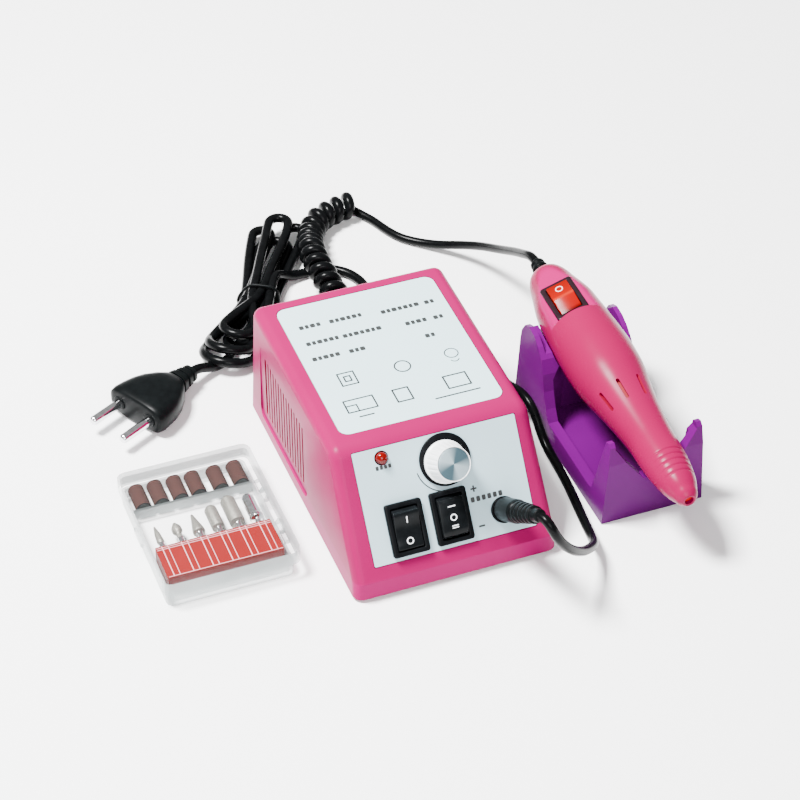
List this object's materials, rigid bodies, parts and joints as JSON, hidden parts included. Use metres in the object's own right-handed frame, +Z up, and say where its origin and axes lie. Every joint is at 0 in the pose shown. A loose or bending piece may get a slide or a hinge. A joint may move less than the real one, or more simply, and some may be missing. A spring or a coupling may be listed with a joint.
{
  "type": "electric nail drill",
  "caption": "Electric nail drill set: sloping control unit, pen-shaped handpiece in a cradle on a curly cord, mains lead, and a lidded case of bits and sanding bands.",
  "frame": {"origin": "on the table, under the middle of the box around the set without its free cords", "axes": "+X to the right seen from the front panel, +Y to the rear, +Z up"},
  "size_m": [0.2202, 0.2791, 0.0548],
  "materials": {
    "pink_shell": "satin hot pink moulding",
    "pink_handpiece": "satin hot pink moulding",
    "base_plastic": "fine matt texture",
    "label_sheet": "smooth printed sheet",
    "panel_sheet": "smooth printed sheet",
    "black_plastic": "satin black",
    "cord_black": "glossy flexible sheath",
    "rubber": "matt",
    "knob_white": "finely fluted white",
    "brushed_aluminium": "spun",
    "steel": "plated",
    "chrome": "nickel plated",
    "red_lens": "clear red dome",
    "red_rocker": "glossy translucent red",
    "purple_clear": "clear purple moulding",
    "case_clear": "milky clear moulding",
    "red_clear": "clear red moulding",
    "sandpaper": "brown abrasive cloth",
    "diamond_grit": "grit bonded to steel",
    "copper_winding": "enamelled winding",
    "circuit_board": "green board",
    "laminated_iron": "varnished laminations",
    "brass": "turned"
  },
  "bodies": {
    "root": {"housing_shell": "pink_shell", "base_plate": "base_plastic", "rubber_foot_1": "rubber", "rubber_foot_2": "rubber", "rubber_foot_3": "rubber", "rubber_foot_4": "rubber", "base_screw_1": "steel", "base_screw_2": "steel", "top_label": "label_sheet", "front_panel_plate": "panel_sheet", "power_switch_body": "black_plastic", "direction_switch_body": "black_plastic", "potentiometer_body": "steel", "led_lens": "red_lens", "output_jack": "black_plastic", "transformer_core": "laminated_iron", "transformer_coil": "copper_winding", "circuit_board": "circuit_board", "mains_gland": "cord_black", "handpiece_upper_shell": "pink_handpiece", "handpiece_lower_shell": "pink_handpiece", "handpiece_switch_body": "black_plastic", "motor_can": "steel", "front_bearing": "steel", "handpiece_strain_relief": "cord_black", "cradle": "purple_clear", "case_base": "case_clear", "bit_holder": "red_clear", "bit_needle": "diamond_grit", "bit_bud": "diamond_grit", "bit_cone": "diamond_grit", "bit_cylinder": "diamond_grit", "bit_barrel": "diamond_grit", "bit_mandrel": "chrome", "sanding_band_1": "sandpaper", "sanding_band_2": "sandpaper", "sanding_band_3": "sandpaper", "sanding_band_4": "sandpaper", "sanding_band_5": "sandpaper", "sanding_band_6": "sandpaper", "dc_plug": "cord_black", "handpiece_cord_front": "cord_black", "handpiece_cord_coil": "cord_black", "handpiece_cord_rear": "cord_black", "mains_lead": "cord_black", "mains_hank": "cord_black", "cord_tie": "cord_black", "mains_tail": "cord_black", "mains_plug": "cord_black", "plug_pin_left": "chrome", "plug_pin_right": "chrome"},
    "power_rocker": {"power_rocker": "black_plastic"},
    "direction_rocker": {"direction_rocker": "black_plastic"},
    "speed_knob": {"speed_knob": "knob_white", "knob_cap": "brushed_aluminium", "potentiometer_shaft": "steel"},
    "handpiece_rocker": {"handpiece_rocker": "red_rocker"},
    "spindle": {"drive_spindle": "steel", "collet": "brass"},
    "case_lid": {"case_lid": "case_clear"}
  },
  "joints": [
    {"name": "power_rocker_tilt", "type": "hinge", "parent": "root", "child": "power_rocker", "pos_m": [-0.01594, -0.04995, 0.02306], "axis": [-1, 0, 0], "range_deg": [0, 18]},
    {"name": "direction_rocker_tilt", "type": "hinge", "parent": "root", "child": "direction_rocker", "pos_m": [0.00241, -0.04986, 0.02319], "axis": [1, 0, 0], "range_deg": [-12, 12]},
    {"name": "speed_knob_turn", "type": "hinge", "parent": "root", "child": "speed_knob", "pos_m": [0.00401, -0.03833, 0.0411], "axis": [0, 0.8253, -0.5648], "range_deg": [0, 280]},
    {"name": "handpiece_rocker_tilt", "type": "hinge", "parent": "root", "child": "handpiece_rocker", "pos_m": [0.08472, 0.02985, 0.04716], "axis": [-0.9455, 0.0209, -0.3249], "range_deg": [0, 16]},
    {"name": "spindle_spin", "type": "hinge", "parent": "root", "child": "spindle", "pos_m": [0.08781, -0.08149, 0.031], "axis": [0, 0.9979, 0.0642], "continuous": true},
    {"name": "case_lid_open", "type": "hinge", "parent": "root", "child": "case_lid", "pos_m": [-0.05484, 0.0035, 0.0046], "axis": [0, 1, 0], "range_deg": [0, 95]}
  ]
}
